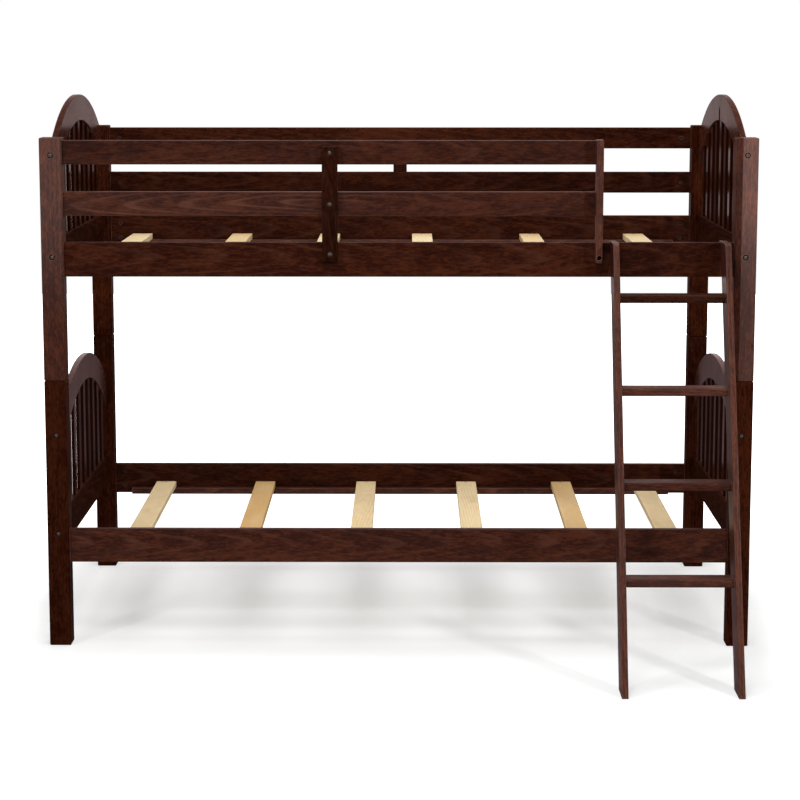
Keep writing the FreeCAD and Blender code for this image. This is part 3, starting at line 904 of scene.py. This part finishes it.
@dataclass
class Studio:
    """The pale floor, the surroundings, the lamps and the camera."""

    camera_spot: tuple = (0.03007, -6.5109, 1.71798)
    camera_pitch: float = 0.14448
    camera_yaw: float = 0.00586
    camera_lens: float = 99.636
    camera_shift: tuple = (0.00469, -0.03794)
    floor_half: float = 9.0
    floor_pale: tuple = (0.62, 0.62, 0.62, 1.0)
    floor_mirrored: tuple = (0.36, 0.26, 0.27, 1.0)
    bed_middle: tuple = (0.0, 0.26, 0.0)
    soft_level: float = 0.25

    def build(self) -> None:
        """Makes the studio."""
        bpy.context.scene.view_settings.view_transform = "Standard"
        self.floor()
        self.surroundings()
        self.lamps()
        self.camera()

    def floor(self) -> None:
        """A plain floor that keeps the bed's shadow and fades to white through a painted glow that
        only the camera sees.
        """
        shape = bmesh.new()
        bmesh.ops.create_grid(shape, x_segments=2, y_segments=2, size=self.floor_half)
        mesh = bpy.data.meshes.new("studio_floor")
        shape.to_mesh(mesh)
        shape.free()
        mesh.transform(Matrix.Translation((0.0, 0.0, -0.0003)))
        thing = bpy.data.objects.new("studio_floor", mesh)
        bpy.context.scene.collection.objects.link(thing)
        material = bpy.data.materials.new("studio_floor")
        material.use_nodes = True
        pen = Wiring(material.node_tree)
        path = pen.add("LightPath")
        # Painted light: a glow that only the camera sees lifts the floor towards white.
        seen = pen.math("MULTIPLY", path.outputs["Is Camera Ray"], self.lift(pen))
        pale = pen.mix(path.outputs["Is Glossy Ray"], self.floor_pale, self.floor_mirrored)
        paint = pen.add("BsdfDiffuse", {"Color": pale})
        glow = pen.add("Emission", {"Color": (1.0, 1.0, 1.0, 1.0), "Strength": seen})
        both = pen.add("AddShader", {0: paint.outputs[0], 1: glow.outputs[0]})
        pen.add("OutputMaterial", {"Surface": both.outputs[0]})
        mesh.materials.append(material)

    def lift(self, pen: Wiring) -> bpy.types.NodeSocket:
        """How much the floor glows towards white for the camera, a painted light: least under the
        bed and most far from it.

        Args:
            pen: The floor's wiring.

        Returns:
            The strength of the lift.
        """
        spot = pen.vector("SUBTRACT", pen.add("TexCoord").outputs["Object"], self.bed_middle)
        squashed = pen.vector("MULTIPLY", spot, (0.75, 1.5, 0.0))
        near = pen.add("VectorMath", {0: squashed}, operation="LENGTH").outputs[1]
        away = pen.add("VectorMath", {0: spot}, operation="LENGTH").outputs[1]
        apart = pen.add("SeparateXYZ", {0: spot})
        side = pen.remap(pen.math("ABSOLUTE", apart.outputs[0]), 1.0, 1.25, (0.0, 0.5))
        back = pen.remap(apart.outputs[1], 0.55, 1.0, (0.0, 0.6))
        under = pen.remap(near, 0.6, 1.2, (0.33, 0.46))
        far = pen.remap(away, 1.5, 2.8, (0.0, 0.6))
        return pen.math("ADD", pen.math("ADD", under, far), pen.math("ADD", side, back))

    def surroundings(self) -> None:
        """White behind the bed, dim in front of it, and a soft level of light all round."""
        world = bpy.data.worlds.new("studio")
        bpy.context.scene.world = world
        world.use_nodes = True
        pen = Wiring(world.node_tree)
        way = pen.add("SeparateXYZ", {0: pen.add("TexCoord").outputs["Generated"]})
        behind = pen.remap(way.outputs[1], -0.1, 0.7, (0.02, 0.85))
        path = pen.add("LightPath")
        glossy, clear = path.outputs["Is Glossy Ray"], path.outputs["Is Transmission Ray"]
        shiny = pen.math("MAXIMUM", glossy, clear)
        shown = pen.math("MULTIPLY", shiny, behind)
        plain = pen.math("MULTIPLY", pen.math("SUBTRACT", 1.0, shiny), self.soft_level)
        level = pen.math("ADD", shown, plain)
        level = pen.math("MAXIMUM", level, path.outputs["Is Camera Ray"])
        tint = pen.mix(shiny, (1.0, 1.0, 1.0, 1.0), (1.0, 0.8, 0.79, 1.0))
        sky = pen.add("Background", {"Color": tint, "Strength": level})
        pen.add("OutputWorld", {"Surface": sky.outputs[0]})

    def lamps(self) -> None:
        """A key from above the front, two side lamps and a top lamp."""
        for lamp in (
            Lamp("key_lamp", (-0.2, -3.1, 3.6), (0.0, 0.0, 0.9), 1.5, 60.0),
            Lamp("left_lamp", (-3.0, -3.6, 2.2), (0.0, 0.0, 0.6), 0.4, 50.0),
            Lamp("right_lamp", (3.0, -3.6, 2.2), (0.0, 0.0, 0.6), 0.4, 66.0),
            Lamp("top_lamp", (0.0, 0.4, 4.6), (0.0, 0.3, 0.0), 4.0, 115.0),
        ):
            lamp.build()

    def camera(self) -> None:
        """The camera at the usual catalogue angle."""
        data = bpy.data.cameras.new("camera")
        data.lens = self.camera_lens
        data.sensor_width = 36.0
        data.shift_x, data.shift_y = self.camera_shift
        thing = bpy.data.objects.new("camera", data)
        thing.location = self.camera_spot
        tilt = math.pi / 2.0 - self.camera_pitch
        thing.rotation_euler = Euler((tilt, 0.0, self.camera_yaw), "XYZ")
        bpy.context.scene.collection.objects.link(thing)
        bpy.context.scene.camera = thing


def main() -> None:
    """Builds the studio and every sub-assembly in order."""
    Studio().build()
    shop = Workshop(Effects())
    # The posts' tones: partly the wood's own difference, partly painted light, with the upper front
    # posts lighter and with a painted sheen, and the lower and back ones darker.
    low_tones = {
        "front_left": Tone.SHADY,
        "front_right": Tone.EVEN,
        "back_left": Tone.SHADY,
        "back_right": Tone.SHADY,
    }
    top_tones = {
        "front_left": Tone.SUNNY,
        "front_right": Tone.BRIGHT,
        "back_left": Tone.EVEN,
        "back_right": Tone.EVEN,
    }
    Bunk("lower", shop, low_tones, 0.95).build()
    Bunk("upper", shop, top_tones, 0.15).build()
    GuardRails(shop).build()
    Ladder(shop).build()


if __name__ == "__main__":
    main()
